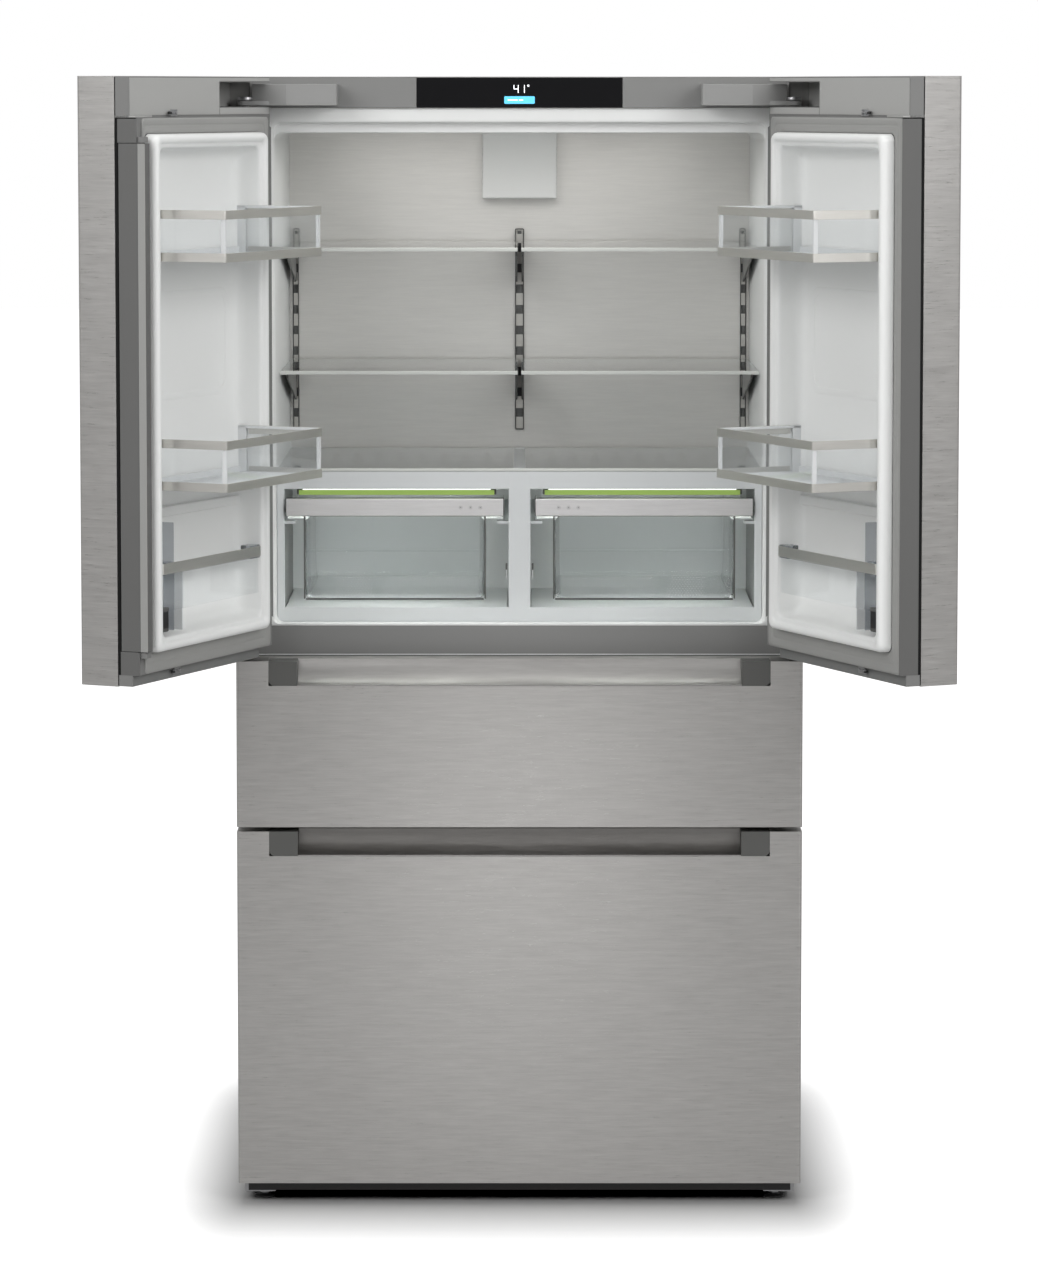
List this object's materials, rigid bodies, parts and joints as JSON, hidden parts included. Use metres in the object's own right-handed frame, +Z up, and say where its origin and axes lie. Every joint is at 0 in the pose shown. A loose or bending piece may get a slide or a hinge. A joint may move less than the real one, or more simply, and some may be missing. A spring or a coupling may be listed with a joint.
{
  "type": "french door refrigerator",
  "caption": "Wide french door refrigerator with steel doors standing open, glass shelves, crispers, door racks and pull-out drawers with recessed grips below.",
  "frame": {"origin": "floor level, under the middle of the outline with both doors standing open", "axes": "+Z up, the fronts face -Y, +X to the viewer's right"},
  "size_m": [1.3438, 1.1075, 1.82],
  "materials": {
    "steel": "satin",
    "casing": "satin",
    "panel_back": "matte",
    "foam": "matte",
    "liner_white": "satin",
    "grey_plastic": "satin",
    "dark_plastic": "satin",
    "black_glass": "gloss",
    "hinge_grey": "satin",
    "zinc": "satin",
    "wall_steel": "satin",
    "duct_white": "satin",
    "rail_metal": "satin",
    "bracket_metal": "satin",
    "clear_glass": "gloss",
    "frame_white": "satin",
    "lamp": "gloss",
    "black_plastic": "matte",
    "roller": "satin",
    "black_paint": "gloss",
    "alu": "satin",
    "gasket": "matte",
    "clear_plastic": "gloss",
    "rack_white": "satin"
  },
  "bodies": {
    "cabinet": {"outer_casing": "casing", "rear_panel": "panel_back", "insulation": "foam", "fridge_liner": "liner_white", "drawer_liners": "liner_white", "top_fascia": "grey_plastic", "control_panel": "black_glass", "mid_fascia": "grey_plastic", "top_hinges": "hinge_grey", "bottom_hinges": "hinge_grey", "back_wall": "wall_steel", "duct_box": "duct_white", "shelf_rails": "rail_metal", "shelf_brackets": "bracket_metal", "glass_shelves": "clear_glass", "crisper_frame": "frame_white", "crisper_cover": "clear_glass", "crisper_lamps": "lamp", "plinth": "black_plastic", "base_frame": "zinc", "feet": "zinc", "compressor": "black_paint", "condenser": "bracket_metal", "evaporator": "alu", "bay_cover": "panel_back", "power_inlet": "black_plastic", "slide_rails": "zinc"},
    "left_door": {"left_door_skin": "steel", "left_door_body": "grey_plastic", "left_door_gasket": "gasket", "left_door_liner": "liner_white", "left_door_racks": "rack_white", "left_rack_rails": "steel", "left_door_catches": "zinc"},
    "mullion_bar": {"mullion": "grey_plastic"},
    "right_door": {"right_door_skin": "steel", "right_door_body": "grey_plastic", "right_door_gasket": "gasket", "right_door_liner": "liner_white", "right_door_racks": "rack_white", "right_rack_rails": "steel", "right_door_catches": "zinc"},
    "upper_drawer": {"upper_drawer_skin": "steel", "upper_drawer_body": "dark_plastic", "upper_drawer_grip": "steel", "upper_drawer_gasket": "gasket", "upper_drawer_bin": "liner_white"},
    "freezer_drawer": {"freezer_drawer_skin": "steel", "freezer_drawer_body": "dark_plastic", "freezer_drawer_grip": "steel", "freezer_drawer_gasket": "gasket", "freezer_drawer_bin": "liner_white"},
    "left_crisper": {"left_crisper_bin": "clear_plastic", "left_crisper_handle": "steel"},
    "right_crisper": {"right_crisper_bin": "clear_plastic", "right_crisper_handle": "steel"},
    "rollers": {"rear_rollers": "roller"},
    "condenser_rotor": {"condenser_fan": "black_plastic"},
    "evaporator_rotor": {"evaporator_fan": "black_plastic"}
  },
  "joints": [
    {"name": "left_door_hinge", "type": "hinge", "parent": "cabinet", "child": "left_door", "pos_m": [-0.439, -0.13151, 1], "axis": [0, 0, -1], "range_deg": [-115, 0]},
    {"name": "right_door_hinge", "type": "hinge", "parent": "cabinet", "child": "right_door", "pos_m": [0.439, -0.13151, 1], "axis": [0, 0, 1], "range_deg": [-115, 0]},
    {"name": "mullion_fold", "type": "hinge", "parent": "left_door", "child": "mullion_bar", "pos_m": [-0.5697, -0.53839, 1.331], "axis": [0, 0, -1], "range_deg": [-90, 0]},
    {"name": "upper_drawer_slide", "type": "slide", "parent": "cabinet", "child": "upper_drawer", "axis": [0, -1, 0], "range_m": [0, 0.4]},
    {"name": "freezer_drawer_slide", "type": "slide", "parent": "cabinet", "child": "freezer_drawer", "axis": [0, -1, 0], "range_m": [0, 0.38]},
    {"name": "left_crisper_slide", "type": "slide", "parent": "cabinet", "child": "left_crisper", "axis": [0, -1, 0], "range_m": [0, 0.28]},
    {"name": "right_crisper_slide", "type": "slide", "parent": "cabinet", "child": "right_crisper", "axis": [0, -1, 0], "range_m": [0, 0.28]},
    {"name": "roller_spin", "type": "hinge", "parent": "cabinet", "child": "rollers", "pos_m": [0, 0.50349, 0.015], "axis": [1, 0, 0], "continuous": true},
    {"name": "condenser_fan_spin", "type": "hinge", "parent": "cabinet", "child": "condenser_rotor", "pos_m": [-0.107, 0.44349, 0.125], "axis": [1, 0, 0], "continuous": true},
    {"name": "evaporator_fan_spin", "type": "hinge", "parent": "cabinet", "child": "evaporator_rotor", "pos_m": [0, 0.44149, 1.585], "axis": [0, 1, 0], "continuous": true}
  ],
  "couplings": [
    {"joint": "mullion_fold", "follows": "left_door_hinge", "ratio": 0.7826}
  ]
}
